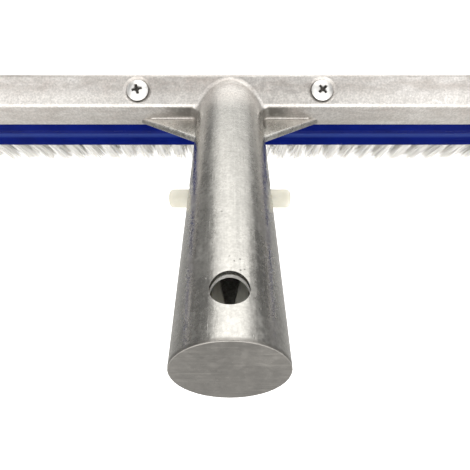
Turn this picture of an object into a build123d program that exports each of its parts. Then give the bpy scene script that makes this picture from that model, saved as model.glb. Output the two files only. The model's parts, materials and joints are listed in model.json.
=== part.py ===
from build123d import *
import os
from math import atan, cos, degrees, radians, sin, sqrt, tan

# Pool wall brush: a curved die-cast aluminium back with a round pole spigot, a moulded
# bristle block screwed up into the back, five rows of tufts, and a V-shaped spring clip
# inside the spigot whose two buttons lock it into a pole.
# Millimetres. X runs along the head, +Y is the rear, +Z is up. The origin is the middle
# of the bristle face, where the tips touch the wall or the floor.

# ---- head: one cross-section, straight in the middle and curving up at both ends ----
TOP_Z = 52.5             # top face of the back above the bristle tips
STRAIGHT_HALF = 100.0    # half-length of the straight middle
BEND_R = 230.0           # radius of the top face along the curved ends
BEND_DEG = 26.5          # turn of each curved end
TOP_HALF_W = 6.6         # half-width of the back's top face
FLANGE_DROP = 10.5       # height of the back's side flanges
FLANGE_FLARE = 20.0      # flare of the flanges, degrees from vertical
WALL = 2.0               # wall of the back
RIDGE_R = 1.5            # rounding of the back's long top edges
END_R = 1.2              # rounding of the back's end faces
END_WALL = 3.0           # wall that closes each end of the back

# ---- bristle block ----
BLOCK_DROP = 14.9        # height of the block below the flanges
BLOCK_FLARE = 17.0       # overall flare of the block's sides
SHOULDER_INSET = 0.4     # how far the block's shoulder sits inside the flanges
BLOCK_EDGE_R = 1.2       # rounding of the block's lower edges
BLOCK_LIP = 1.8          # height of the upright band above the block's lower edges
SHOULDER_AT = 0.75       # height of the shoulder, as a share of the block's height
SHOULDER_BULGE = 0.3     # how far the shoulder stands out of the flared side
GROOVE_AT = 0.45         # height of the hollow that runs along each side, likewise
GROOVE_DEPTH = 0.7       # depth of that hollow
TONGUE_GAP = 0.25        # play between the block's tongue and the back

# ---- tufts ----
ROW_NAMES = {-2: "front", -1: "mid_front", 0: "middle", 1: "mid_rear", 2: "rear"}
ROW_PITCH = 5.0          # distance between rows at the block's face
ROW_FAN = 1.0            # extra outward tilt per row, degrees
TUFT_PITCH = 8.8         # distance between tufts in a row
TUFT_HOLE_R = 1.6
TUFT_HOLE_DEPTH = 10.0
TUFT_ROOT_R = 1.55
TUFT_TIP_R = 3.0
END_MARGIN = 4.5         # last tuft's distance from the block's end
ANCHOR_W, ANCHOR_T, ANCHOR_H = 4.2, 0.45, 1.8

# ---- pole spigot ----
SPIGOT_TILT = 40.0       # elevation of the spigot above the head's top face
SPIGOT_R = 13.5          # 27 mm outside diameter
SPIGOT_ROOT_R = 13.6     # the casting's draft makes the root a little thicker
SPIGOT_STRAIGHT = 50.0   # length of the true cylinder from the closed end
SPIGOT_END_Y = -95.3     # centre of the closed end
SPIGOT_END_Z = 118.7
BORE_R = 11.0
END_PLATE = 4.5          # thickness of the closed end
RIM_R = 0.25             # rounding of the closed end's rim
TOP_HOLE_R = 4.5         # round hole in the top of the spigot
TOP_HOLE_S = 12.8        # its distance from the closed end
BUTTON_HOLE_R = 4.7      # side holes, wide enough for the buttons as they tilt inwards
BUTTON_HOLE_SHIFT = 0.8  # side holes' centre past the buttons' rest position
WEB_TOP_H, WEB_LOW_H = -0.9, -3.6   # upper and lower face of the two webs, from the axis
WEB_TIP_X = 37.9         # where a web runs out on the flange
WEB_TIP_S = 113.6        # the same point's distance from the closed end
WEB_START_S = 97.7       # where a web's free edge meets the spigot
WEB_BACK_S = 118.0       # how far a web is carried under the back's top
WEB_EDGE_R = 0.8         # rounding of a web's free edge
WEB_COVE_R = 0.5         # small cove along a web's joint with the flange
WEB_COVE_X = 33.5        # where that cove ends
ROOT_R = 3.0             # cove where the spigot runs into the back
ROOT_S = 132.0           # how far the spigot is carried down before it is trimmed
BLOCK_CLEAR = 0.4        # gap between the spigot's trimmed lower edge and the block

# ---- spring clip ----
BUTTON_S = 58.7          # buttons' distance from the closed end
BUTTON_R = 3.0
BUTTON_BASE_R = 3.3      # shoulder inside the spigot's wall
BUTTON_REACH = 19.5      # button tip's distance from the spigot's axis
BUTTON_DOME_R = 1.4
CLIP_HALF_ANGLE = 10.1   # each arm's lean near the bend
CLIP_T = 3.0             # thickness of an arm
CLIP_HALF_H = 4.0        # half the clip's height
CLIP_BEND_S = 13.6       # centre of the bend
CLIP_BEND_R = 0.8        # inner radius of the bend
ARM_FLAT_X = 6.9         # inner face of an arm's straight outer length
ARM_END_S = 63.8

# ---- screws ----
INNER_SCREW_X = 38.0
OUTER_SCREW_DEG = 17.5   # the outer screws' place along the curved ends
SCREW_HEAD_R = 4.4
SCREW_HEAD_RISE = 1.4    # crown of the raised head above the top face
SCREW_SEAT_DEPTH = 2.1   # height of the head's cone
SCREW_CREST_R = 2.2
SCREW_ROOT_R = 1.75
SCREW_PITCH = 1.5
SCREW_LENGTH = 12.0      # below the top face
SCREW_HOLE_R = 2.35
SEAT_R = 5.85            # countersink at the top face
CROSS_LONG, CROSS_WIDE, CROSS_DEEP = 4.4, 1.25, 2.0
CROSS_CENTRE_R = 1.25    # round widening where the arms of the cross meet
CROSS_TURNS = {"inner_left": 14.0, "inner_right": 42.0, "outer_left": 70.0, "outer_right": 25.0}

# ---- worked out from the above ----
FLANGE_Z = TOP_Z - FLANGE_DROP
BLOCK_Z = FLANGE_Z - BLOCK_DROP
FLANGE_HALF_W = TOP_HALF_W + FLANGE_DROP * tan(radians(FLANGE_FLARE))
BLOCK_HALF_W = FLANGE_HALF_W + BLOCK_DROP * tan(radians(BLOCK_FLARE))
BEND_CENTRE_Z = TOP_Z + BEND_R
BLOCK_FACE_R = BEND_CENTRE_Z - BLOCK_Z
TILT_COS, TILT_SIN = cos(radians(SPIGOT_TILT)), sin(radians(SPIGOT_TILT))
SPIGOT_END = Vector(0, SPIGOT_END_Y, SPIGOT_END_Z)
DOWN_AXIS = Vector(0, TILT_COS, -TILT_SIN)   # from the closed end towards the head
ACROSS = Vector(0, TILT_SIN, TILT_COS)       # square to the axis, upwards


def spigot_section(s):
    """Plane square to the spigot at distance s from its end; local +Z points out of the end."""
    return Plane(origin=SPIGOT_END + DOWN_AXIS * s, x_dir=(1, 0, 0), z_dir=-DOWN_AXIS)


def spigot_midplane(h=0.0):
    """Plane along the spigot, h above its axis; local x is X and local y is the distance s."""
    return Plane(origin=SPIGOT_END + ACROSS * h, x_dir=(1, 0, 0), z_dir=ACROSS)


def head_frame(angle, side):
    """The head's own frame at a point of a curved end: origin below it on the tip line."""
    reach = BEND_CENTRE_Z * sin(radians(angle))
    rise = BEND_CENTRE_Z * (1 - cos(radians(angle)))
    return Location((side * (STRAIGHT_HALF + reach), 0, rise), (0, -side * angle, 0))


def sweep_ends(section, trim=0.0):
    """Runs a Y-Z section along both curved ends, stopping `trim` mm short of each tip."""
    hinge = Axis((STRAIGHT_HALF, 0, BEND_CENTRE_Z), (0, -1, 0))
    turn = BEND_DEG - degrees(trim / BEND_R)
    right = revolve(Pos(STRAIGHT_HALF, 0, 0) * section, axis=hinge, revolution_arc=turn)
    return [right, mirror(right, about=Plane.YZ)]


def sweep_head(section, trim=0.0):
    """Runs a Y-Z section along the whole head."""
    right, left = sweep_ends(section, trim)
    return extrude(section, amount=STRAIGHT_HALF, both=True) + right + left


def symmetric_section(side_points):
    """Closed Y-Z face from the points of its +Y side, listed from the top down."""
    mirrored = [(-y, z) for y, z in reversed(side_points)]
    return Plane.YZ * make_face(Polyline(*side_points, *mirrored, close=True))


def round_section(section, corners):
    """Rounds the section's corners: (y, z, radius) for the +Y side, and the same on -Y."""
    for y, z, radius in corners:
        near = [v for v in section.vertices() if abs(abs(v.Y) - y) < 0.01 and abs(v.Z - z) < 0.01]
        section = fillet(near, radius)
    return section


def channel_half_width(z):
    """Half-width of the hollow under the back at height z."""
    outer = TOP_HALF_W + (TOP_Z - z) * tan(radians(FLANGE_FLARE))
    return outer - WALL / cos(radians(FLANGE_FLARE))


# ---------------------------------------------------------------- back casting
def back_section(low_z):
    """Outside of the back, its flanges carried down to low_z."""
    half = TOP_HALF_W + (TOP_Z - low_z) * tan(radians(FLANGE_FLARE))
    section = symmetric_section([(TOP_HALF_W, TOP_Z), (half, low_z)])
    return round_section(section, [(TOP_HALF_W, TOP_Z, RIDGE_R)])


def channel_section():
    """The hollow under the back, open downwards."""
    below = FLANGE_Z - 1
    return symmetric_section([
        (channel_half_width(TOP_Z - WALL), TOP_Z - WALL),
        (channel_half_width(below), below),
    ])


def spigot_outside():
    """Spigot skin: a true cylinder, then a slightly drafted root that runs into the back."""
    seam_below = Rot(0, 0, -90)
    near = seam_below * Circle(SPIGOT_R)
    cylinder = extrude(spigot_section(0) * near, amount=-SPIGOT_STRAIGHT)
    rim = cylinder.edges().filter_by(GeomType.CIRCLE).sort_by(lambda e: e.center().Z)[-1]
    draft = (SPIGOT_ROOT_R - SPIGOT_R) / (WEB_START_S - SPIGOT_STRAIGHT)
    far = seam_below * Circle(SPIGOT_R + draft * (ROOT_S - SPIGOT_STRAIGHT))
    root = loft([spigot_section(SPIGOT_STRAIGHT) * near, spigot_section(ROOT_S) * far])
    return fillet(rim, RIM_R) + root


def back_with_spigot():
    """The straight middle and the spigot joined by a cove, with the curved ends added."""
    low_z = BLOCK_Z - 2
    spigot = spigot_outside()
    behind = Pos(0, TOP_HALF_W, 0) * Box(80, 200, 400, align=(Align.CENTER, Align.MIN, Align.CENTER))
    beneath = Pos(0, 0, low_z) * Box(80, 80, 80, align=(Align.CENTER, Align.CENTER, Align.MAX))
    middle = extrude(back_section(low_z), amount=STRAIGHT_HALF, both=True)
    middle += spigot - behind - beneath
    root_edges = [
        e for e in middle.edges()
        if e.geom_type != GeomType.LINE and abs(e.center().X) < SPIGOT_R + 1
        and e.bounding_box().size.X < 2 * SPIGOT_R
        and low_z + 1 < e.center().Z < TOP_Z + 0.1 and abs(e.center().Y) < BLOCK_HALF_W
    ]
    middle = fillet(root_edges, ROOT_R)
    skirt = Pos(0, 0, FLANGE_Z) * Box(
        3 * STRAIGHT_HALF, 4 * BLOCK_HALF_W, 80, align=(Align.CENTER, Align.CENTER, Align.MAX))
    middle -= skirt - spigot
    middle -= extrude(channel_section(), amount=STRAIGHT_HALF, both=True)
    return middle + curved_ends()


def curved_ends():
    """The back's two curved ends, hollow, with rounded tips."""
    solid_ends = sweep_ends(back_section(FLANGE_Z))
    hollows = sweep_ends(channel_section(), trim=END_WALL)
    return [round_tip(end - hollow, side) for end, side, hollow in zip(solid_ends, (1, -1), hollows)]


def round_tip(end, side):
    """Rounds the three outer edges of a curved end's tip face."""
    tip = end.faces().sort_by(Axis.X)[-1 if side > 0 else 0]
    edges = [e for e in tip.edges() if e.center().Z > tip.center().Z - FLANGE_DROP / 3]
    return fillet(edges, END_R)


def block_room():
    """Space below the back that the spigot and the webs must leave free for the block."""
    reach = 60.0
    points = [
        (-FLANGE_HALF_W - BLOCK_CLEAR, FLANGE_Z),
        (-BLOCK_HALF_W - BLOCK_CLEAR, BLOCK_Z + BLOCK_LIP),
        (-BLOCK_HALF_W - BLOCK_CLEAR, BLOCK_Z - reach),
        (reach, BLOCK_Z - reach),
        (reach, FLANGE_Z),
    ]
    return extrude(Plane.YZ * make_face(Polyline(*points, close=True)), amount=reach, both=True)


def web(side):
    """Triangular plate between the spigot's side and the flange, its free edge rounded."""
    slope = (WEB_TIP_S - WEB_START_S) / (WEB_TIP_X - SPIGOT_R)
    inner_x = SPIGOT_R - 1
    start_s = WEB_START_S - slope
    points = [
        (side * inner_x, start_s),
        (side * WEB_TIP_X, WEB_TIP_S),
        (side * (WEB_TIP_X + 1.5), WEB_BACK_S),
        (side * inner_x, WEB_BACK_S),
    ]
    plate = spigot_midplane(WEB_LOW_H) * make_face(Polyline(*points, close=True))
    body = extrude(plate, amount=WEB_TOP_H - WEB_LOW_H)
    free_length = sqrt((WEB_TIP_X - inner_x) ** 2 + (WEB_TIP_S - start_s) ** 2)
    return fillet([e for e in body.edges() if abs(e.length - free_length) < 0.01], WEB_EDGE_R)


def web_cove(side):
    """Small cove along the joint of a web's upper face and the flange."""
    flare = radians(FLANGE_FLARE)
    on_web = SPIGOT_END + ACROSS * WEB_TOP_H
    front_y = -TOP_HALF_W - (TOP_Z - on_web.Z) * tan(flare)
    joint_s = (front_y - on_web.Y) / (TILT_COS + TILT_SIN * tan(flare))
    joint = on_web + DOWN_AXIS * joint_s
    up_flange = Vector(0, sin(flare), cos(flare))
    half_angle = radians((-DOWN_AXIS).get_angle(up_flange)) / 2
    leg = WEB_COVE_R / tan(half_angle)
    bisector = (up_flange - DOWN_AXIS).normalized()
    centre = joint + bisector * (WEB_COVE_R / sin(half_angle))
    inset = bisector * -0.3
    corners = [joint + inset, joint - DOWN_AXIS * leg, joint + up_flange * leg]
    wedge = make_face(Polyline(*[(v.Y, v.Z) for v in corners], close=True))
    section = wedge - Pos(centre.Y, centre.Z) * Circle(WEB_COVE_R)
    strip = extrude(Plane.YZ * section, amount=WEB_COVE_X - SPIGOT_R)
    return Pos(SPIGOT_R if side > 0 else -WEB_COVE_X, 0, 0) * strip


def screw_seats():
    """Clearance hole and countersink for each screw, cut at its place along the head."""
    seat = Pos(0, 0, TOP_Z) * Cone(
        SCREW_HOLE_R, SEAT_R, SCREW_SEAT_DEPTH, align=(Align.CENTER, Align.CENTER, Align.MAX))
    above = Pos(0, 0, TOP_Z) * Cylinder(SEAT_R, 3, align=(Align.CENTER, Align.CENTER, Align.MIN))
    hole = Pos(0, 0, TOP_Z - 2 * WALL) * Cylinder(
        SCREW_HOLE_R, 3 * WALL, align=(Align.CENTER, Align.CENTER, Align.MIN))
    return [place * (seat + above + hole) for place in screw_places().values()]


def screw_places():
    """Each screw's frame, by name."""
    return {
        "inner_left": Location((-INNER_SCREW_X, 0, 0)),
        "inner_right": Location((INNER_SCREW_X, 0, 0)),
        "outer_left": head_frame(OUTER_SCREW_DEG, -1),
        "outer_right": head_frame(OUTER_SCREW_DEG, 1),
    }


def back_casting():
    """The whole casting: back, spigot and webs, with its bore and holes."""
    inside = extrude(channel_section(), amount=STRAIGHT_HALF / 2, both=True)
    body = back_with_spigot() + [web(side) - inside for side in (-1, 1)]
    body += [web_cove(side) for side in (-1, 1)]
    body -= block_room()
    bore_top_s = ((SPIGOT_END_Z + BORE_R * TILT_COS) - (TOP_Z - WALL)) / TILT_SIN
    body -= extrude(spigot_section(END_PLATE) * Circle(BORE_R), amount=-(bore_top_s - END_PLATE))
    body -= extrude(spigot_midplane() * Pos(0, TOP_HOLE_S) * Circle(TOP_HOLE_R), amount=SPIGOT_R + 2)
    hole_s = BUTTON_S + BUTTON_HOLE_SHIFT
    cross = Plane(origin=SPIGOT_END + DOWN_AXIS * hole_s, x_dir=ACROSS, z_dir=(1, 0, 0))
    body -= extrude(cross * Circle(BUTTON_HOLE_R), amount=SPIGOT_R + 3, both=True)
    for seat in screw_seats():
        body -= seat
    return body


# ---------------------------------------------------------------- bristle block
def block_section():
    """Tongue inside the back, and flared sides with a shallow hollow below the flanges."""
    tongue_top = TOP_Z - WALL - TONGUE_GAP
    side_run = BLOCK_HALF_W - FLANGE_HALF_W
    hollow_z = BLOCK_Z + GROOVE_AT * BLOCK_DROP
    hollow_y = BLOCK_HALF_W - GROOVE_AT * side_run - GROOVE_DEPTH
    shoulder_z = BLOCK_Z + SHOULDER_AT * BLOCK_DROP
    shoulder_y = BLOCK_HALF_W - SHOULDER_AT * side_run + SHOULDER_BULGE
    section = symmetric_section([
        (channel_half_width(tongue_top) - TONGUE_GAP, tongue_top),
        (channel_half_width(FLANGE_Z) - TONGUE_GAP, FLANGE_Z),
        (FLANGE_HALF_W - SHOULDER_INSET, FLANGE_Z),
        (shoulder_y, shoulder_z),
        (hollow_y, hollow_z),
        (BLOCK_HALF_W, BLOCK_Z + BLOCK_LIP),
        (BLOCK_HALF_W, BLOCK_Z),
    ])
    return round_section(section, [
        (shoulder_y, shoulder_z, 2.0),
        (hollow_y, hollow_z, 3.0),
        (BLOCK_HALF_W, BLOCK_Z, BLOCK_EDGE_R),
    ])


def tongue_trim():
    """Cuts the tongue back at each end so that it clears the back's end wall."""
    depth = END_WALL + TONGUE_GAP
    cutter = Pos(0, 0, FLANGE_Z) * Box(
        2 * depth, 40, FLANGE_DROP, align=(Align.CENTER, Align.CENTER, Align.MIN))
    return [head_frame(BEND_DEG, side) * cutter for side in (-1, 1)]


def tuft_places(row):
    """Frames of one row's tufts: on the tip line, with the local +Z square to the head."""
    stagger = 0.5 if row % 2 else 0.0
    end_u = STRAIGHT_HALF + BLOCK_FACE_R * radians(BEND_DEG) - END_MARGIN
    count = int(end_u / TUFT_PITCH - stagger)
    steps = [i + stagger for i in range(-count - (1 if stagger else 0), count + 1)]
    places = []
    for step in steps:
        u = step * TUFT_PITCH
        if abs(u) <= STRAIGHT_HALF:
            places.append(Location((u, 0, 0)))
        else:
            side = 1 if u > 0 else -1
            places.append(head_frame(degrees((abs(u) - STRAIGHT_HALF) / BLOCK_FACE_R), side))
    return places


def row_axis(row):
    """One row's hole axis in the head's own frame: the block's face, leaning outwards."""
    return Location((0, row * ROW_PITCH, BLOCK_Z), (row * ROW_FAN, 0, 0))


def tuft(row):
    """One tuft in the head's own frame: a cone from its anchor, trimmed level at the tips."""
    above = TUFT_HOLE_DEPTH - ANCHOR_H
    length = above + BLOCK_Z + 3
    spread = (TUFT_TIP_R - TUFT_ROOT_R) / (BLOCK_Z + 3)
    neck = Cylinder(TUFT_ROOT_R, above, align=(Align.CENTER, Align.CENTER, Align.MIN))
    brush = Cone(
        TUFT_ROOT_R + spread * (length - above), TUFT_ROOT_R, length - above,
        align=(Align.CENTER, Align.CENTER, Align.MAX))
    trimmed = row_axis(row) * (neck + brush)
    floor = Box(60, 60, 20, align=(Align.CENTER, Align.CENTER, Align.MAX))
    return trimmed - floor


def tuft_hole(row):
    """One blind hole, run a little past the block's face."""
    run_out = 3.0
    pin = Pos(0, 0, -run_out) * Cylinder(
        TUFT_HOLE_R, TUFT_HOLE_DEPTH + run_out, align=(Align.CENTER, Align.CENTER, Align.MIN))
    return row_axis(row) * pin


def anchor(row):
    """Flat metal anchor across the bottom of one hole."""
    plate = Pos(0, 0, TUFT_HOLE_DEPTH - ANCHOR_H) * Box(
        ANCHOR_W, ANCHOR_T, ANCHOR_H, align=(Align.CENTER, Align.CENTER, Align.MIN))
    return row_axis(row) * plate


def bristle_block():
    """The moulded block with its tuft holes and screw pilot holes."""
    body = sweep_head(block_section())
    for cutter in tongue_trim():
        body -= cutter
    holes = []
    for row in ROW_NAMES:
        pin = tuft_hole(row)
        holes += [place * pin for place in tuft_places(row)]
    pilot = Pos(0, 0, TOP_Z - SCREW_LENGTH - 0.4) * Cylinder(
        SCREW_CREST_R + 0.05, SCREW_LENGTH, align=(Align.CENTER, Align.CENTER, Align.MIN))
    holes += [place * pilot for place in screw_places().values()]
    return body.cut(*holes)


# ---------------------------------------------------------------- screws
def screw(cross_turn):
    """Raised countersunk screw with a cross recess and a ridged thread, head at TOP_Z."""
    crown = (SCREW_HEAD_R ** 2 + SCREW_HEAD_RISE ** 2) / (2 * SCREW_HEAD_RISE)
    thread = []
    z = -SCREW_SEAT_DEPTH
    while z - SCREW_PITCH > -SCREW_LENGTH + SCREW_CREST_R:
        thread += [(SCREW_ROOT_R, z), (SCREW_CREST_R, z - SCREW_PITCH / 2)]
        z -= SCREW_PITCH
    outline = [(SCREW_HEAD_R, -0.2)] + thread + [(SCREW_ROOT_R, z), (0, -SCREW_LENGTH), (0, -0.2)]
    shank = revolve(Plane.XZ * make_face(Polyline(*outline, close=True)), axis=Axis.Z)
    dome = Pos(0, 0, SCREW_HEAD_RISE - crown) * Sphere(crown)
    rim = Cylinder(SCREW_HEAD_R, SCREW_HEAD_RISE + 0.4, align=(Align.CENTER, Align.CENTER, Align.MIN))
    head = dome & (Pos(0, 0, -0.2) * rim)
    plus = Rectangle(CROSS_LONG, CROSS_WIDE) + Rectangle(CROSS_WIDE, CROSS_LONG)
    recess = extrude(Pos(0, 0, SCREW_HEAD_RISE) * plus, amount=-CROSS_DEEP, taper=12)
    recess += Pos(0, 0, SCREW_HEAD_RISE) * Cone(
        CROSS_CENTRE_R / 3, CROSS_CENTRE_R, CROSS_DEEP, align=(Align.CENTER, Align.CENTER, Align.MAX))
    body = (shank + head) - Rot(0, 0, cross_turn) * recess
    return Pos(0, 0, TOP_Z) * body


# ---------------------------------------------------------------- spring clip
def arm_lines():
    """Where an arm's straight lean starts and where it turns parallel to the spigot."""
    lean = radians(CLIP_HALF_ANGLE)
    start_in = (CLIP_BEND_R * cos(lean), CLIP_BEND_S - CLIP_BEND_R * sin(lean))
    outer_r = CLIP_BEND_R + CLIP_T
    start_out = (outer_r * cos(lean), CLIP_BEND_S - outer_r * sin(lean))
    knee_in_s = start_in[1] + (ARM_FLAT_X - start_in[0]) / tan(lean)
    knee_out_s = start_out[1] + (ARM_FLAT_X + CLIP_T - start_out[0]) / tan(lean)
    return start_in, start_out, knee_in_s, knee_out_s


def clip_bend():
    """The round bend that joins the two arms."""
    start_in, start_out, _, _ = arm_lines()
    outer_r = CLIP_BEND_R + CLIP_T
    inner = ThreePointArc((-start_in[0], start_in[1]), (0, CLIP_BEND_S - CLIP_BEND_R), start_in)
    outer = ThreePointArc(start_out, (0, CLIP_BEND_S - outer_r), (-start_out[0], start_out[1]))
    sides = Line(start_in, start_out) + Line((-start_out[0], start_out[1]), (-start_in[0], start_in[1]))
    face = make_face(inner + outer + sides)
    return extrude(spigot_midplane(-CLIP_HALF_H) * face, amount=2 * CLIP_HALF_H)


def clip_arm(side):
    """One arm with its button; side is -1 for the left and 1 for the right."""
    start_in, start_out, knee_in_s, knee_out_s = arm_lines()
    outline = [
        start_in,
        (ARM_FLAT_X, knee_in_s),
        (ARM_FLAT_X, ARM_END_S),
        (ARM_FLAT_X + CLIP_T, ARM_END_S),
        (ARM_FLAT_X + CLIP_T, knee_out_s),
        start_out,
    ]
    face = spigot_midplane(-CLIP_HALF_H) * make_face(Polyline(*outline, close=True))
    body = extrude(face, amount=2 * CLIP_HALF_H)
    tip = [e for e in body.edges().filter_by(lambda e: abs(e.length - 2 * CLIP_HALF_H) < 0.01)
           if (e.center() - SPIGOT_END).dot(DOWN_AXIS) > ARM_END_S - 0.5]
    body = fillet(tip, CLIP_T / 2 - 0.1)
    button_plane = Plane(
        origin=SPIGOT_END + DOWN_AXIS * BUTTON_S + Vector(ARM_FLAT_X + CLIP_T / 2, 0, 0),
        x_dir=ACROSS, z_dir=(1, 0, 0))
    to_tip = BUTTON_REACH - ARM_FLAT_X - CLIP_T / 2
    to_skin = SPIGOT_R - 0.3 - ARM_FLAT_X - CLIP_T / 2
    button = extrude(button_plane * Circle(BUTTON_R), amount=to_tip)
    dome = button.edges().filter_by(GeomType.CIRCLE).sort_by(Axis.X)[-1]
    button = fillet(dome, BUTTON_DOME_R)
    body = body + button + extrude(button_plane * Circle(BUTTON_BASE_R), amount=to_skin)
    return body if side > 0 else mirror(body, about=Plane.YZ)


# ---------------------------------------------------------------- all nodes
def write(name, shape):
    export_step(shape, os.path.join("parts", name + ".step"))


def main():
    os.makedirs("parts", exist_ok=True)
    write("back_casting", back_casting())
    write("bristle_block", bristle_block())
    for row, row_name in ROW_NAMES.items():
        one_tuft, one_anchor = tuft(row), anchor(row)
        places = tuft_places(row)
        write("tufts_" + row_name, Compound(children=[place * one_tuft for place in places]))
        write("anchors_" + row_name, Compound(children=[place * one_anchor for place in places]))
    for name, place in screw_places().items():
        write("screw_" + name, place * screw(CROSS_TURNS[name]))
    write("clip_bend", clip_bend())
    write("clip_arm_left", clip_arm(-1))
    write("clip_arm_right", clip_arm(1))


main()
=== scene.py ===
import json
import math

import bmesh
import bpy
import numpy as np
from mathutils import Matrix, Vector


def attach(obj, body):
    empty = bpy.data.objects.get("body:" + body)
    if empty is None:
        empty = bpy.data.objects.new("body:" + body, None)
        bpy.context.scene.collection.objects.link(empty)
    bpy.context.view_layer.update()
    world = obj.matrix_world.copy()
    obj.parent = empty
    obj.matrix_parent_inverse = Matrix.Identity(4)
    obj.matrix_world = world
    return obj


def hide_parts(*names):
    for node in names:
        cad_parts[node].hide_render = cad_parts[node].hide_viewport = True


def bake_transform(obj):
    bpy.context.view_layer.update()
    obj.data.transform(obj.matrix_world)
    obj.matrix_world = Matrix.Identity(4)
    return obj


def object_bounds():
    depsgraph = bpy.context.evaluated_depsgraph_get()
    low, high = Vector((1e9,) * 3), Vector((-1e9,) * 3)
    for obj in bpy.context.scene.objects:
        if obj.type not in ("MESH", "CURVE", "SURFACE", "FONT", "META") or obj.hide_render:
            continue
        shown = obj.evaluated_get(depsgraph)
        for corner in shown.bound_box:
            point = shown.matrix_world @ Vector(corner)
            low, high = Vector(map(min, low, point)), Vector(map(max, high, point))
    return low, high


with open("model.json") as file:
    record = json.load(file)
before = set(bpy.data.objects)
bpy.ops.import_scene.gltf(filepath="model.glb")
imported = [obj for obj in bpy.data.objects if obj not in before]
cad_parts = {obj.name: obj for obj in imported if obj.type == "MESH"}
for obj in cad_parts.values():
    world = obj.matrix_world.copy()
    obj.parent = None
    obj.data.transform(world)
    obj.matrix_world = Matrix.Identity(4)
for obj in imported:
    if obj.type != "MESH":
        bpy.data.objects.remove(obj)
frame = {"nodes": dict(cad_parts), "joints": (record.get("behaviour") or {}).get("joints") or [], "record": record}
cad_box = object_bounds()

# Pool wall brush, in metres and in the CAD frame: X along the head, the spigot points forward
# (-Y) and up, and the bristle tips of the head's middle lie on Z = 0.

MM = 0.001
NODES = frame["nodes"]
MOUNTS = {m["name"]: m for m in frame["record"]["mounts"]}
HINGE = Vector(frame["joints"][0]["pos_m"])            # centre of the clip's bend
OUT_OF_SPIGOT = Vector(MOUNTS["pole_spigot"]["axis"]).normalized()
DOWN_SPIGOT = -OUT_OF_SPIGOT
ACROSS_SPIGOT = Vector((1, 0, 0)).cross(DOWN_SPIGOT).normalized()   # up and back out of the spigot
SPIGOT_TILT = math.asin(OUT_OF_SPIGOT.z)
SPIGOT_R = MOUNTS["pole_spigot"]["dims"]["r_mm"] * MM
BEND_FROM_END = 13.6 * MM  # the clip's bend lies this far behind the spigot's closed end

# ---- head ----
TOP_Z = 52.5 * MM
STRAIGHT_HALF = 100 * MM  # half-length of the straight middle
BEND_R = 230 * MM         # radius of the top face along the curved ends
SHOULDER_DEPTH = 17.9 * MM  # depth below the top face of the painted highlight band on the block's shoulder
HIGHLIGHT_BAND_HEIGHT = 1.2 * MM
HIGHLIGHT_BAND_SOFT = 1.4 * MM

# ---- marks and painted light on the casting: where each one fades in and where it is full ----
SPIGOT_TONE_Y = (-5 * MM, -16 * MM)
END_FACE_S = (1.2 * MM, 0.4 * MM)      # down the spigot from its closed end
BORE_FROM_OUTSIDE = (1.1 * MM, 1.6 * MM)   # inwards from the spigot's outer radius
BORE_S = (3.0 * MM, 4.2 * MM)          # down the spigot from its closed end
BORE_REAR_Y = (4.5 * MM, 3.5 * MM)
HIGHLIGHT_STREAK_Y = (0.8 * MM, -3.0 * MM)       # painted highlight: a lighter streak along the front of the top face and over its front ridge
HIGHLIGHT_STREAK_DEPTH = (1.5 * MM, 0.8 * MM)
HIGHLIGHT_STREAK_WANDER = 1.2 * MM
PAINTED_SHADE_X = (29 * MM, 19 * MM)     # painted shade: the flange corners beside the spigot, darkened to stand in for the dark reflection there
PAINTED_SHADE_DEPTH = (1.8 * MM, 5.2 * MM, 1.2 * MM)   # from, to, softness
PAINTED_SHADE_Y = (-9.8 * MM, -5.5 * MM, 2.0 * MM)     # from, to, softness

# ---- bristles ----
FILAMENTS_PER_TUFT = 115
FILAMENT_R = 0.17 * MM
FILAMENT_SIDES = 3
ROOT_FILL = 0.92          # share of a tuft's root radius that the filaments fill
TIP_SPLAY = 1.3           # how much wider than the plain cone the loose tips spread
TIP_RAGGED = 0.3 * MM     # spread of the filaments' lengths
STRAY_SHARE = 0.05        # filaments that stand away from their tuft
STRAY_SPLAY = 1.3
FILAMENT_BEND = 0.55 * MM
SPLAY_SPREAD = 0.10       # how much the splay differs between filaments
TIP_SCATTER = 0.3 * MM
TWIST_SCATTER = 0.15      # radians off the even spiral in which the filaments stand
GOLDEN_ANGLE = math.pi * (3 - math.sqrt(5))
ALONG_FILAMENT = (0.0, 0.22, 0.45, 0.7, 0.9, 1.0)    # stations, as shares of the length
THICKNESS = (1.0, 1.0, 1.0, 0.97, 0.9, 0.55)         # at those stations
FIRST_SEED = 20
WELD = 1e-6               # vertices this close count as one point
ROOT_SLICE = 0.2 * MM     # vertices this near a tuft's root make its root ring
TIP_SLICE = 1.6 * MM

# ---- clip ----
CLIP_T = 3.0 * MM
CLIP_HALF_H = 4.0 * MM
CLIP_BEND_R = 0.8 * MM
CLIP_LEAN = math.radians(10.1)
CLIP_EDGE_R = 0.55 * MM
ARM_FLAT_X = 6.9 * MM     # inner face of an arm's straight outer length
ARM_LENGTH = 50.2 * MM    # from the hinge to the arm's end
BUTTON_AT = 45.1 * MM     # from the hinge to the buttons
BUTTON_R = MOUNTS["button_left"]["dims"]["r_mm"] * MM
BUTTON_BASE_R = 3.3 * MM
BUTTON_REACH = 19.5 * MM
SHOULDER_X = SPIGOT_R - 0.3 * MM
DOME_R = 1.4 * MM
ARM_END = ((0.93, 0.35), (0.72, 0.75), (0.38, 1.0))  # the rounded end: (thickness share, mm further)
ARM_END_HEIGHT = 0.35     # how much the height shrinks where the thickness shrinks by 1

# ---- screws: the painted shade in the cross recess, as shares of a screw's box ----
RECESS_REACH = 0.27       # from the axis, of the head's width
RECESS_TOP = 0.962        # from the point upward, of the screw's length
RECESS_SOFT = 0.02
RECESS_TOP_SOFT = 0.012

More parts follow.
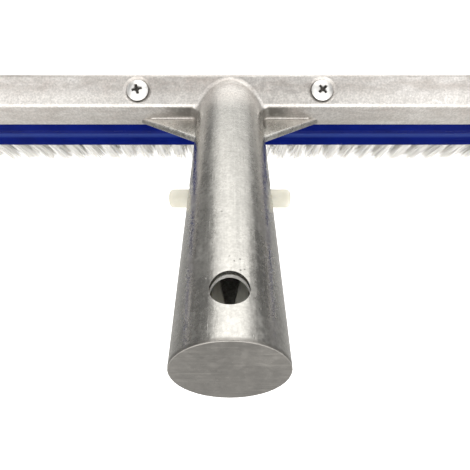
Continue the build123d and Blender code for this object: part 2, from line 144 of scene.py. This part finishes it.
# ---- camera and stage ----
CAMERA_AT = Vector((0, -0.0728, 0.2028))
CAMERA_PITCH = math.radians(4.97)
LENS, SENSOR = 29.11, 36.0
CAMERA_SHIFT = 0.011
NEAREST_SEEN = 5 * MM
FLOOR_SIZE = 6.0
FLOOR_GAP = 0.4 * MM      # the table top lies this far below the lowest bristle
FLOOR_GLOW = 0.62
LIGHT_TINT = (1.0, 0.985, 0.955, 1)
SOFTBOXES = (             # name, place, aim, width, height, power
    ("left", (-1.05, 0.66, 1.6), (0, 0, 0.05), 1.0, 0.9, 4.5),
    ("right", (1.15, 0.66, 1.6), (0, 0, 0.05), 1.1, 0.9, 5.5))
# Surroundings' brightness by direction. Each glow is the product of three profiles, along the
# direction's X (sideways), Y (to the rear) and Z (up), given as (place from -1 to 1, level) stops.
SKY_BY_HEIGHT = (
    (-1, 0.62), (-0.6, 0.46), (-0.38, 0.2), (0.05, 0.2), (0.45, 0.4), (0.8, 0.4), (1, 0.46))
REAR_WALL = (
    ((-1, 0), (-0.6, 0.08), (-0.46, 0.14), (-0.37, 1), (0.48, 1), (0.6, 0.18), (1, 0.05)),
    ((-1, 0), (0.7, 0), (0.82, 0.9), (1, 1)),
    ((-1, 0), (-0.55, 0), (-0.2, 1.1), (-0.05, 1.4), (0.3, 2.0), (0.5, 1.9), (0.68, 1.1),
     (0.82, 0.1), (1, 0)))
FRONT_LOW = (
    ((-1, 2.2), (-0.48, 1.6), (-0.33, 0.85), (-0.1, 0.25), (0.1, 0.25), (0.33, 0.75),
     (0.48, 1.6), (1, 2.2)),
    ((-1, 1), (-0.75, 1), (-0.5, 0), (1, 0)),
    ((-1, 0), (-0.75, 0), (-0.6, 0.7), (-0.15, 0.7), (0.1, 0.2), (1, 0)))
OVERHEAD_FRONT = (
    ((-1, 1), (1, 1)),
    ((-1, 0.4), (-0.75, 1), (-0.2, 1), (-0.02, 0), (1, 0)),
    ((-1, 0), (0.4, 0), (0.6, 1.6), (1, 1.6)))
FRONT_LEVEL = (
    ((-1, 1), (1, 1)),
    ((-1, 1), (-0.7, 1), (-0.4, 0), (1, 0)),
    ((-1, 0), (0.02, 0), (0.2, 1.5), (0.5, 1.5), (0.6, 0.4), (1, 0)))


# ================================================================ material helpers
class Shader:
    """Short names for building one node material."""

    def __init__(self, name):
        self.material = bpy.data.materials.new(name)
        self.material.use_nodes = True
        self.nodes = self.material.node_tree.nodes
        self.links = self.material.node_tree.links
        self.surface = self.nodes["Principled BSDF"]
        self.place = self.nodes.new("ShaderNodeTexCoord").outputs["Object"]

    def feed(self, socket, value):
        if isinstance(value, bpy.types.NodeSocket):
            self.links.new(value, socket)
        else:
            socket.default_value = value

    def turned(self, rotation=(0, 0, 0), shift=(0, 0, 0), scale=(1, 1, 1), source=None):
        """The surface position after scaling, turning and shifting."""
        node = self.nodes.new("ShaderNodeMapping")
        self.feed(node.inputs["Vector"], source or self.place)
        node.inputs["Rotation"].default_value = rotation
        node.inputs["Location"].default_value = shift
        node.inputs["Scale"].default_value = scale
        return node.outputs["Vector"]

    def noise(self, where, scale, detail=3.0, roughness=0.55, distortion=0.0):
        node = self.nodes.new("ShaderNodeTexNoise")
        self.feed(node.inputs["Vector"], where)
        node.inputs["Scale"].default_value = scale
        node.inputs["Detail"].default_value = detail
        node.inputs["Roughness"].default_value = roughness
        node.inputs["Distortion"].default_value = distortion
        return node.outputs["Fac"]

    def cells(self, where, scale):
        """Distance to the nearest of many scattered points."""
        node = self.nodes.new("ShaderNodeTexVoronoi")
        self.feed(node.inputs["Vector"], where)
        node.inputs["Scale"].default_value = scale
        return node.outputs["Distance"]

    def spread(self, value, low, high, to_low=0.0, to_high=1.0):
        """Stretches low..high of a value to to_low..to_high, clamped and eased."""
        node = self.nodes.new("ShaderNodeMapRange")
        node.interpolation_type = "SMOOTHSTEP"
        self.feed(node.inputs["Value"], value)
        node.inputs["From Min"].default_value = low
        node.inputs["From Max"].default_value = high
        node.inputs["To Min"].default_value = to_low
        node.inputs["To Max"].default_value = to_high
        return node.outputs["Result"]

    def sum(self, a, b, operation="ADD"):
        node = self.nodes.new("ShaderNodeMath")
        node.operation = operation
        self.feed(node.inputs[0], a)
        self.feed(node.inputs[1], b)
        return node.outputs["Value"]

    def times(self, a, b):
        return self.sum(a, b, "MULTIPLY")

    def blend(self, share, a, b):
        """Colour a where share is 0 and b where it is 1."""
        node = self.nodes.new("ShaderNodeMix")
        node.data_type = "RGBA"
        self.feed(node.inputs[0], share)
        self.feed(node.inputs[6], a if isinstance(a, bpy.types.NodeSocket) else (*a, 1))
        self.feed(node.inputs[7], b if isinstance(b, bpy.types.NodeSocket) else (*b, 1))
        return node.outputs[2]

    def axis(self, where, name):
        node = self.nodes.new("ShaderNodeSeparateXYZ")
        self.feed(node.inputs["Vector"], where)
        return node.outputs[name]

    def band(self, value, low, high, soft):
        """1 between low and high, fading to 0 over soft on both sides."""
        return self.times(self.spread(value, low - soft, low), self.spread(value, high + soft, high))

    def below_top(self):
        """Depth below the head's top face, also along its curved ends."""
        side = self.sum(self.axis(self.place, "X"), 0.0, "ABSOLUTE")
        past_straight = self.sum(self.sum(side, STRAIGHT_HALF, "SUBTRACT"), 0.0, "MAXIMUM")
        to_centre = self.sum(TOP_Z + BEND_R, self.axis(self.place, "Z"), "SUBTRACT")
        squares = self.sum(self.times(past_straight, past_straight), self.times(to_centre, to_centre))
        return self.sum(self.sum(squares, 0.5, "POWER"), BEND_R, "SUBTRACT")

    def bump(self, height, depth, below=None):
        """Relief of the given depth in metres; below is a bump it lies on."""
        node = self.nodes.new("ShaderNodeBump")
        node.inputs["Distance"].default_value = depth
        self.feed(node.inputs["Height"], height)
        if below is not None:
            self.feed(node.inputs["Normal"], below)
        return node.outputs["Normal"]

    def finish(self, **sockets):
        for name, value in sockets.items():
            self.feed(self.surface.inputs[name.replace("_", " ")], value)
        return self.material


# ================================================================ materials
def cast_aluminium():
    """Polished die casting: drawn streaks on the spigot, flow marks, pits and scratches, plus a painted highlight
    along the front of the top face and painted shade in the flange corners beside the spigot.
    """
    m = Shader("cast_aluminium")
    end = HINGE + OUT_OF_SPIGOT * BEND_FROM_END
    along_shift = (0, -end.dot(DOWN_SPIGOT), -end.dot(ACROSS_SPIGOT))
    spigot = m.turned(rotation=(SPIGOT_TILT, 0, 0), shift=along_shift)
    on_spigot = m.spread(m.axis(m.place, "Y"), *SPIGOT_TONE_Y)
    on_end_face = m.spread(m.axis(spigot, "Y"), *END_FACE_S)
    across = m.times(m.axis(spigot, "X"), m.axis(spigot, "X"))
    upward = m.times(m.axis(spigot, "Z"), m.axis(spigot, "Z"))
    from_axis = m.sum(m.sum(across, upward), 0.5, "POWER")
    bore_edge, bore_full = (SPIGOT_R - inwards for inwards in BORE_FROM_OUTSIDE)
    in_bore = m.times(m.spread(from_axis, bore_edge, bore_full),
                      m.spread(m.axis(spigot, "Y"), *BORE_S))
    in_bore = m.times(in_bore, m.spread(m.axis(m.place, "Y"), *BORE_REAR_Y))

    # colour: cool grey on the spigot, warmer and lighter along the back
    streaks = m.noise(m.turned(scale=(1, 0.045, 1), source=spigot), 420, 4, 0.6)
    bands = m.noise(m.turned(scale=(1, 0.08, 1), source=spigot), 130, 2, 0.5)
    blotches = m.noise(m.place, 85, 5, 0.62, 0.4)
    back_flow = m.noise(m.turned(scale=(0.22, 1, 1)), 260, 5, 0.62, 0.6)
    spigot_tone = m.blend(m.spread(bands, 0.3, 0.7), (0.46, 0.455, 0.435), (0.64, 0.63, 0.60))
    spigot_tone = m.blend(m.spread(streaks, 0.38, 0.66, 0, 0.55), spigot_tone, (0.70, 0.69, 0.655))
    back_tone = m.blend(m.spread(back_flow, 0.32, 0.68), (0.60, 0.555, 0.52), (0.80, 0.77, 0.745))
    back_tone = m.blend(m.spread(blotches, 0.5, 0.72, 0, 0.5), back_tone, (0.68, 0.60, 0.565))
    # painted highlight: a lighter, wandering band along the front of the top face and over its front ridge,
    # standing in for the ridge's highlight
    wander = m.spread(back_flow, 0.3, 0.7, -HIGHLIGHT_STREAK_WANDER, HIGHLIGHT_STREAK_WANDER)
    to_front = m.sum(m.axis(m.place, "Y"), wander)
    depth = m.below_top()
    painted_highlight_streak = m.times(m.spread(to_front, *HIGHLIGHT_STREAK_Y), m.spread(depth, *HIGHLIGHT_STREAK_DEPTH))
    back_tone = m.blend(m.times(painted_highlight_streak, 0.75), back_tone, (0.93, 0.90, 0.865))
    # painted shade: a dark tone in the flange corners beside the spigot's root, standing in for the dark
    # reflection of the web and spigot there
    aside = m.sum(m.axis(m.place, "X"), 0.0, "ABSOLUTE")
    painted_shade = m.times(m.spread(aside, *PAINTED_SHADE_X), m.band(depth, *PAINTED_SHADE_DEPTH))
    painted_shade = m.times(painted_shade, m.band(m.axis(m.place, "Y"), *PAINTED_SHADE_Y))
    back_tone = m.blend(m.times(painted_shade, 0.78), back_tone, (0.20, 0.185, 0.17))
    tone = m.blend(on_spigot, back_tone, spigot_tone)
    tone = m.blend(on_end_face, tone, (0.36, 0.345, 0.325))
    tone = m.blend(in_bore, tone, (0.88, 0.87, 0.84))

    # speckle: the cast skin's fine mottling
    speckle = m.noise(m.place, 1250, 3, 0.7)
    coarse_speckle = m.noise(m.place, 520, 3, 0.65)
    tone = m.blend(m.spread(speckle, 0.36, 0.68, 0.42, 0), tone, (0.30, 0.295, 0.28))
    off_end_face = m.spread(on_end_face, 0, 1, 1, 0.12)
    light_spots = m.times(m.spread(coarse_speckle, 0.5, 0.72, 0, 0.3), off_end_face)
    tone = m.blend(light_spots, tone, (0.80, 0.79, 0.765))

    # pits: small dark dots, some cells only
    pit_cells = m.cells(m.place, 620)
    pit_pick = m.noise(m.place, 330, 2)
    pits = m.times(m.spread(pit_cells, 0.16, 0.07), m.spread(pit_pick, 0.56, 0.64))
    tone = m.blend(m.times(pits, 0.6), tone, (0.16, 0.155, 0.145))

    # scratches: long hairlines along the spigot, a few across, and sideways on the end face
    hair_along = m.noise(m.turned(scale=(1, 0.02, 1), source=spigot), 2600, 1, 0.4)
    slanted = m.turned(rotation=(0, 0.5, 0.9), scale=(0.03, 1, 1), source=spigot)
    hair_across = m.noise(slanted, 1500, 1, 0.4)
    hair_side = m.noise(m.turned(scale=(0.02, 1, 1), source=spigot), 2400, 2, 0.5)
    hair = m.spread(hair_along, 0.66, 0.78)
    hair = m.sum(hair, m.spread(hair_across, 0.74, 0.8), "MAXIMUM")
    end_lines = m.times(m.spread(hair_side, 0.55, 0.75), on_end_face)
    tone = m.blend(m.times(hair, 0.22), tone, (0.86, 0.85, 0.82))
    tone = m.blend(m.times(end_lines, 0.55), tone, (0.60, 0.585, 0.545))

    rough = m.spread(blotches, 0.3, 0.75, 0.17, 0.3)
    rough = m.sum(rough, m.spread(on_spigot, 0, 1, 0.17, 0))
    rough = m.sum(rough, m.spread(coarse_speckle, 0.4, 0.7, 0, 0.08))
    rough = m.sum(rough, m.times(on_end_face, 0.12))
    rough = m.sum(rough, m.times(m.spread(streaks, 0.3, 0.7), 0.07))
    rough = m.sum(rough, m.times(in_bore, 0.35))
    metal = m.spread(in_bore, 0.0, 1.0, 1.0, 0.05)

    relief = m.bump(m.noise(m.place, 150, 4, 0.55), 0.16 * MM)
    relief = m.bump(m.noise(m.turned(scale=(1, 0.12, 1), source=spigot), 1500, 2), 0.012 * MM, relief)
    relief = m.bump(speckle, 0.02 * MM, relief)
    relief = m.bump(m.sum(1.0, pits, "SUBTRACT"), 0.06 * MM, relief)
    relief = m.bump(m.sum(hair, end_lines), 0.008 * MM, relief)
    return m.finish(Base_Color=tone, Metallic=metal, Roughness=rough, Normal=relief)


def blue_plastic():
    """Glossy moulded blue with faint flow lines along the head and a painted highlight band on the shoulder."""
    m = Shader("blue_plastic")
    flow = m.noise(m.turned(scale=(0.12, 1, 1)), 320, 4, 0.6)
    cloud = m.noise(m.place, 70, 4, 0.6)
    tone = m.blend(m.spread(cloud, 0.3, 0.7), (0.0003, 0.0042, 0.082), (0.0005, 0.006, 0.108))
    tone = m.blend(m.spread(flow, 0.55, 0.75, 0, 0.4), tone, (0.0015, 0.010, 0.165))
    # painted highlight: a lighter band along the block's shoulder, standing in for its sheen
    painted_highlight_band = m.band(m.below_top(), SHOULDER_DEPTH, SHOULDER_DEPTH + HIGHLIGHT_BAND_HEIGHT, HIGHLIGHT_BAND_SOFT)
    tone = m.blend(m.times(painted_highlight_band, 0.7), tone, (0.022, 0.042, 0.185))
    rough = m.spread(flow, 0.3, 0.7, 0.2, 0.32)
    relief = m.bump(m.noise(m.turned(scale=(0.2, 1, 1)), 240, 3), 0.08 * MM)
    relief = m.bump(m.noise(m.place, 2400, 2), 0.006 * MM, relief)
    return m.finish(Base_Color=tone, Roughness=rough, Normal=relief, Specular_IOR_Level=0.03)


def bristle_nylon():
    """Off-white filaments, each a slightly different tone."""
    m = Shader("bristle_nylon")
    island = m.nodes.new("ShaderNodeNewGeometry").outputs["Random Per Island"]
    mottling = m.noise(m.place, 900, 2)
    tone = m.blend(island, (0.89, 0.865, 0.80), (0.97, 0.955, 0.92))
    tone = m.blend(m.spread(mottling, 0.35, 0.7, 0, 0.35), tone, (0.96, 0.95, 0.91))
    rough = m.spread(mottling, 0.3, 0.7, 0.38, 0.52)
    relief = m.bump(m.noise(m.place, 3500, 1), 0.01 * MM)
    return m.finish(
        Base_Color=tone, Roughness=rough, Normal=relief, Subsurface_Weight=0.5,
        Subsurface_Radius=(0.002, 0.0018, 0.0014), Subsurface_Scale=1.0)


def clip_plastic():
    """Ivory moulded plastic, a little waxy, with soft moulding marks."""
    m = Shader("clip_plastic")
    cloud = m.noise(m.place, 160, 4, 0.6)
    grain = m.noise(m.place, 1800, 2)
    tone = m.blend(m.spread(cloud, 0.3, 0.72), (0.64, 0.625, 0.54), (0.75, 0.735, 0.66))
    rough = m.spread(cloud, 0.3, 0.7, 0.32, 0.46)
    relief = m.bump(grain, 0.01 * MM)
    relief = m.bump(cloud, 0.08 * MM, relief)
    return m.finish(
        Base_Color=tone, Roughness=rough, Normal=relief, Subsurface_Weight=0.35,
        Subsurface_Radius=(0.004, 0.0034, 0.0026), Subsurface_Scale=1.0)


def steel(name, light, dark, grain_scale, roughest):
    """Plated steel with a fine turned grain and a few marks."""
    m = Shader(name)
    grain = m.noise(m.place, grain_scale, 3, 0.6)
    cloud = m.noise(m.place, 420, 3)
    marks = m.spread(m.noise(m.turned(scale=(1, 0.15, 1)), 1900, 1), 0.66, 0.76)
    tone = m.blend(m.spread(cloud, 0.3, 0.7), dark, light)
    tone = m.blend(m.times(marks, 0.3), tone, dark)
    rough = m.spread(cloud, 0.3, 0.7, roughest - 0.14, roughest)
    relief = m.bump(grain, 0.01 * MM)
    relief = m.bump(marks, 0.01 * MM, relief)
    return m, tone, rough, relief


def anchor_steel():
    m, tone, rough, relief = steel("anchor_steel", (0.66, 0.65, 0.63), (0.46, 0.45, 0.43), 3000, 0.36)
    return m.finish(Base_Color=tone, Metallic=1.0, Roughness=rough, Normal=relief)


def screw_steel():
    """The plated steel, with painted shade in the cross recess."""
    m, tone, rough, relief = steel("screw_steel", (0.96, 0.955, 0.945), (0.84, 0.835, 0.82), 2400, 0.52)
    box_place = m.nodes.new("ShaderNodeTexCoord").outputs["Generated"]
    aside = m.sum(m.axis(box_place, "X"), 0.5, "SUBTRACT")
    ahead = m.sum(m.axis(box_place, "Y"), 0.5, "SUBTRACT")
    from_axis = m.sum(m.sum(m.times(aside, aside), m.times(ahead, ahead)), 0.5, "POWER")
    # painted shade: the cross recess darkened where shade falls in it
    recess_shade = m.times(m.spread(from_axis, RECESS_REACH + RECESS_SOFT, RECESS_REACH),
                     m.spread(m.axis(box_place, "Z"), RECESS_TOP, RECESS_TOP - RECESS_TOP_SOFT))
    tone = m.blend(m.times(recess_shade, 0.86), tone, (0.11, 0.10, 0.09))
    rough = m.sum(rough, m.times(recess_shade, 0.3))
    return m.finish(Base_Color=tone, Metallic=1.0, Roughness=rough, Normal=relief)


MATERIALS = {
    "cast_aluminium": cast_aluminium(),
    "blue_plastic": blue_plastic(),
    "bristle_nylon": bristle_nylon(),
    "clip_plastic": clip_plastic(),
    "screw_steel": screw_steel(),
    "anchor_steel": anchor_steel(),
}

for part in frame["record"]["subparts"]:
    node = NODES[part["node"]]
    for slot in node.material_slots:
        slot.material = MATERIALS[part["material_slot"]]


def new_piece(name, vertices, faces, slot):
    """A mesh object with one of the materials above."""
    mesh = bpy.data.meshes.new(name)
    mesh.from_pydata(vertices, [], faces)
    mesh.validate()
    mesh.shade_smooth()
    mesh.materials.append(MATERIALS[slot])
    piece = bpy.data.objects.new(name, mesh)
    bpy.context.scene.collection.objects.link(piece)
    return piece


# ================================================================ bristles
def tufts_of(node_name):
    """Each tuft of a row as (root centre, tip centre, root radius, tip radius, tip normal)."""
    mesh = NODES[node_name].data
    points = np.array([v.co for v in mesh.vertices])
    keys, index = np.unique(np.round(points / WELD).astype(np.int64), axis=0, return_inverse=True)
    index = index.reshape(-1)
    parent = np.arange(len(keys))

    def top(i):
        while parent[i] != i:
            parent[i] = parent[parent[i]]
            i = parent[i]
        return i

    for edge in mesh.edges:
        a, b = top(index[edge.vertices[0]]), top(index[edge.vertices[1]])
        if a != b:
            parent[b] = a
    groups = {}
    for i in range(len(keys)):
        groups.setdefault(top(i), []).append(keys[i] * WELD)
    found = []
    for group in groups.values():
        shape = np.array(group)
        middle = shape.mean(0)
        axis = np.linalg.svd(shape - middle)[2][0]
        if axis[2] > 0:
            axis = -axis
        run = (shape - middle) @ axis
        root = shape[run < run.min() + ROOT_SLICE]
        tip = shape[run > run.max() - TIP_SLICE]
        root_at, tip_at = root.mean(0), tip.mean(0)
        root_r = np.linalg.norm(root - root_at, axis=1).max()
        tip_r = np.linalg.norm(tip - tip_at, axis=1).max()
        normal = np.linalg.svd(tip - tip_at)[2][2]
        found.append((root_at, tip_at, root_r, tip_r, normal))
    return sorted(found, key=lambda t: t[0][0])


def filament_row(name, node_name, seed):
    """One row of tufts as loose filaments, trimmed level at the tips."""
    rng = np.random.default_rng(seed)
    stations = np.array(ALONG_FILAMENT)
    thickness = np.array(THICKNESS)
    sides = FILAMENT_SIDES
    rings = []
    for root_at, tip_at, root_r, tip_r, normal in tufts_of(node_name):
        axis = tip_at - root_at
        length = np.linalg.norm(axis)
        axis = axis / length
        across = np.cross(axis, (0.0, 1.0, 0.0))
        across /= np.linalg.norm(across)
        along = np.cross(axis, across)
        count = FILAMENTS_PER_TUFT
        radius = np.sqrt((np.arange(count) + rng.uniform(0.2, 0.8, count)) / count)
        angle = np.arange(count) * GOLDEN_ANGLE + rng.normal(0, TWIST_SCATTER, count)
        spoke = np.cos(angle)[:, None] * across + np.sin(angle)[:, None] * along
        starts = root_at + spoke * (radius * root_r * ROOT_FILL)[:, None]
        splay = TIP_SPLAY * rng.normal(1.0, SPLAY_SPREAD, count)
        splay[rng.uniform(size=count) < STRAY_SHARE] *= STRAY_SPLAY
        ends = tip_at + spoke * (radius * tip_r * splay)[:, None]
        ends = ends + rng.normal(0, TIP_SCATTER, (count, 3))
        aim = ends - starts
        reach = ((tip_at - starts) @ normal) / (aim @ normal)
        aim = aim * reach[:, None]
        aim = aim * (1 - np.abs(rng.normal(0, TIP_RAGGED, count)) / length)[:, None]
        sway = rng.normal(0, FILAMENT_BEND, (count, 2))
        drift = sway[:, :1] * across + sway[:, 1:] * along
        turn = rng.uniform(0, math.tau, count)
        for t, thick in zip(stations, thickness):
            centre = starts + aim * t + drift * (t * t - t)
            for k in range(sides):
                a = turn + k * math.tau / sides
                edge = np.cos(a)[:, None] * across + np.sin(a)[:, None] * along
                rings.append(centre + edge * (FILAMENT_R * thick))
    per_tuft = len(stations) * sides
    tuft_count = len(rings) // per_tuft
    block = np.array(rings).reshape(tuft_count, per_tuft, -1, 3)
    block = block.transpose(0, 2, 1, 3)              # tuft, filament, ring point, xyz
    filaments = tuft_count * block.shape[1]
    vertices = block.reshape(-1, 3)
    quads = []
    for i in range(len(stations) - 1):
        for k in range(sides):
            j = (k + 1) % sides
            quads.append((i * sides + k, i * sides + j, (i + 1) * sides + j, (i + 1) * sides + k))
    cap = [(len(stations) - 1) * sides + k for k in range(sides)]
    offsets = (np.arange(filaments) * per_tuft)[:, None, None]
    faces = (np.array(quads)[None] + offsets).reshape(-1, 4).tolist()
    faces += (np.array([cap])[None] + offsets).reshape(-1, sides).tolist()
    piece = new_piece(name, vertices.tolist(), faces, "bristle_nylon")
    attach(piece, "head")
    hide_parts(node_name)


for number, row in enumerate(("front", "mid_front", "middle", "mid_rear", "rear")):
    filament_row("bristles_" + row, "tufts_" + row, FIRST_SEED + number)


# ================================================================ clip
def in_clip(x, s, h):
    """A point of the clip: x across, s down the spigot from the hinge, h above its middle."""
    return HINGE + Vector((x, 0, 0)) + DOWN_SPIGOT * s + ACROSS_SPIGOT * h


def arm_centreline():
    """Middle line of one arm, from the middle of the bend to the arm's end, as (x, s)."""
    mid_r = CLIP_BEND_R + CLIP_T / 2
    line = []
    bend_steps = 10
    for i in range(bend_steps + 1):
        a = -math.pi / 2 + (math.pi / 2 - CLIP_LEAN) * i / bend_steps
        line.append((mid_r * math.cos(a), mid_r * math.sin(a)))
    x, s = line[-1]
    knee_x = ARM_FLAT_X + CLIP_T / 2
    knee_s = s + (knee_x - x) / math.tan(CLIP_LEAN)
    lean_steps, flat_steps = 16, 10
    knee_soft = 2.2 * MM
    for i in range(1, lean_steps + 1):
        t = i / lean_steps
        line.append((x + (knee_x - x) * t, s + (knee_s - knee_soft - s) * t))
    for i in range(1, flat_steps + 1):
        t = i / flat_steps
        line.append((knee_x, knee_s + knee_soft + (ARM_LENGTH - knee_s - knee_soft) * t))
    return line


def clip_section():
    """Rounded section of an arm: (through its thickness, across its height)."""
    half_t, half_h, r = CLIP_T / 2, CLIP_HALF_H, CLIP_EDGE_R
    corner_steps = 3
    points = []
    for quarter, (cx, cy) in enumerate(((1, 1), (-1, 1), (-1, -1), (1, -1))):
        for i in range(corner_steps + 1):
            a = math.pi / 2 * (quarter + i / corner_steps)
            points.append((cx * (half_t - r) + r * math.cos(a), cy * (half_h - r) + r * math.sin(a)))
    return points


def clip_half(name, side, nodes):
    """Half of the clip: its half of the bend, one arm and its button."""
    line = arm_centreline()
    section = clip_section()
    n = len(section)
    vertices, faces = [], []
    for i, (x, s) in enumerate(line):
        before, after = line[max(i - 1, 0)], line[min(i + 1, len(line) - 1)]
        run = Vector((after[0] - before[0], after[1] - before[1])).normalized()
        if i == 0:
            run = Vector((1, 0))
        outward = Vector((run.y, -run.x))
        for through, height in section:
            px, ps = x + outward.x * through, s + outward.y * through
            vertices.append(in_clip(side * px, ps, height))
    x, s = line[-1]
    for shrink, push in ARM_END:
        for through, height in section:
            edge = 1 - (1 - shrink) * ARM_END_HEIGHT
            vertices.append(in_clip(side * (x + through * shrink), s + push * MM, height * edge))
    count = len(vertices) // n
    for i in range(count - 1):
        for k in range(n):
            j = (k + 1) % n
            faces.append((i * n + k, i * n + j, (i + 1) * n + j, (i + 1) * n + k))
    faces.append(tuple(range(n)))
    faces.append(tuple((count - 1) * n + k for k in range(n)))
    add_button(vertices, faces, side)
    piece = new_piece(name, vertices, faces, "clip_plastic")
    make_normals_face_out(piece)
    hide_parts(*nodes)
    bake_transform(piece)


def add_button(vertices, faces, side):
    """The button on an arm: a cove at its foot, a shoulder, and a domed tip."""
    foot_x = ARM_FLAT_X + CLIP_T
    profile = [                                       # (radius, reach from the spigot's axis)
        (BUTTON_BASE_R + 0.6 * MM, foot_x - 0.4 * MM),
        (BUTTON_BASE_R + 0.55 * MM, foot_x),
        (BUTTON_BASE_R + 0.2 * MM, foot_x + 0.2 * MM),
        (BUTTON_BASE_R, foot_x + 0.55 * MM),
        (BUTTON_BASE_R, SHOULDER_X - 0.25 * MM),
        (BUTTON_BASE_R - 0.08 * MM, SHOULDER_X - 0.05 * MM),
        (BUTTON_R + 0.03 * MM, SHOULDER_X + 0.02 * MM),
        (BUTTON_R, SHOULDER_X + 0.2 * MM),
        (BUTTON_R, BUTTON_REACH - DOME_R - 0.2 * MM),
    ]
    dome_steps = 8
    for i in range(dome_steps + 1):
        a = math.pi / 2 * i / dome_steps
        profile.append((BUTTON_R - DOME_R + DOME_R * math.cos(a),
                        BUTTON_REACH - DOME_R + DOME_R * math.sin(a)))
    profile.append((0.35 * MM, BUTTON_REACH - 0.06 * MM))
    around = 40
    base = len(vertices)
    for r, x in profile:
        for k in range(around):
            a = math.tau * k / around
            vertices.append(in_clip(side * x, BUTTON_AT + r * math.cos(a), r * math.sin(a)))
    for i in range(len(profile) - 1):
        for k in range(around):
            j = (k + 1) % around
            faces.append((base + i * around + k, base + i * around + j,
                          base + (i + 1) * around + j, base + (i + 1) * around + k))
    faces.append(tuple(base + k for k in range(around)))
    faces.append(tuple(base + (len(profile) - 1) * around + k for k in range(around)))


def make_normals_face_out(piece):
    work = bmesh.new()
    work.from_mesh(piece.data)
    bmesh.ops.recalc_face_normals(work, faces=work.faces)
    work.to_mesh(piece.data)
    work.free()


clip_half("clip_left_half", -1, ("clip_arm_left", "clip_bend"))
clip_half("clip_right_half", 1, ("clip_arm_right", "clip_bend"))


# ================================================================ stage, light and camera
def white_floor():
    """A plain white table top with an even glow of its own."""
    m = Shader("floor_white")
    m.surface.inputs["Base Color"].default_value = (0.92, 0.92, 0.92, 1)
    m.surface.inputs["Roughness"].default_value = 0.7
    m.surface.inputs["Emission Color"].default_value = (1, 1, 1, 1)
    m.surface.inputs["Emission Strength"].default_value = FLOOR_GLOW
    half = FLOOR_SIZE / 2
    mesh = bpy.data.meshes.new("floor")
    corners = [(-half, -half, 0), (half, -half, 0), (half, half, 0), (-half, half, 0)]
    mesh.from_pydata(corners, [], [(0, 1, 2, 3)])
    mesh.materials.append(m.material)
    floor = bpy.data.objects.new("floor", mesh)
    floor.location.z = cad_box[0][2] - FLOOR_GAP
    floor.visible_glossy = False
    bpy.context.scene.collection.objects.link(floor)


def studio_world():
    """Soft surroundings: a bright wall behind, pale table in front, light overhead, dim sides."""
    world = bpy.data.worlds.new("studio")
    world.use_nodes = True
    bpy.context.scene.world = world
    nodes, links = world.node_tree.nodes, world.node_tree.links
    direction = nodes.new("ShaderNodeTexCoord").outputs["Generated"]
    parts = nodes.new("ShaderNodeSeparateXYZ")
    links.new(direction, parts.inputs["Vector"])

    def level_by(socket, stops):
        """Brightness along one component of the direction, -1 to 1, from (place, level) stops."""
        ramp = nodes.new("ShaderNodeFloatCurve")
        curve = ramp.mapping.curves[0]
        ramp.mapping.use_clip = False
        first, last = stops[0], stops[-1]
        curve.points[0].location = ((first[0] + 1) / 2, first[1])
        curve.points[1].location = ((last[0] + 1) / 2, last[1])
        for place, level in stops[1:-1]:
            curve.points.new((place + 1) / 2, level)
        for point in curve.points:
            point.handle_type = "VECTOR"
        ramp.mapping.update()
        to_unit = nodes.new("ShaderNodeMapRange")
        to_unit.inputs["From Min"].default_value = -1
        links.new(socket, to_unit.inputs["Value"])
        links.new(to_unit.outputs["Result"], ramp.inputs["Value"])
        return ramp.outputs["Value"]

    def joined(operation, a, b):
        node = nodes.new("ShaderNodeMath")
        node.operation = operation
        links.new(a, node.inputs[0])
        links.new(b, node.inputs[1])
        return node.outputs["Value"]

    total = level_by(parts.outputs["Z"], SKY_BY_HEIGHT)
    for sideways, to_rear, upward in (REAR_WALL, FRONT_LOW, FRONT_LEVEL, OVERHEAD_FRONT):
        glow = level_by(parts.outputs["X"], sideways)
        glow = joined("MULTIPLY", glow, level_by(parts.outputs["Y"], to_rear))
        glow = joined("MULTIPLY", glow, level_by(parts.outputs["Z"], upward))
        total = joined("ADD", total, glow)
    background = nodes["Background"]
    background.inputs["Color"].default_value = LIGHT_TINT
    links.new(total, background.inputs["Strength"])


def softbox(name, at, aim, width, height, power):
    light = bpy.data.lights.new(name, "AREA")
    light.shape = "RECTANGLE"
    light.size, light.size_y = width, height
    light.energy = power
    lamp = bpy.data.objects.new(name, light)
    lamp.location = at
    lamp.rotation_euler = (Vector(aim) - Vector(at)).to_track_quat("-Z", "Y").to_euler()
    bpy.context.scene.collection.objects.link(lamp)


def camera():
    data = bpy.data.cameras.new("camera")
    data.lens, data.sensor_width = LENS, SENSOR
    data.shift_x = CAMERA_SHIFT
    data.clip_start = NEAREST_SEEN
    eye = bpy.data.objects.new("camera", data)
    eye.location = CAMERA_AT
    eye.rotation_euler = (CAMERA_PITCH, 0, 0)
    bpy.context.scene.collection.objects.link(eye)
    bpy.context.scene.camera = eye


white_floor()
studio_world()
for box in SOFTBOXES:
    softbox(*box)
camera()
bpy.context.scene.view_settings.view_transform = "Standard"
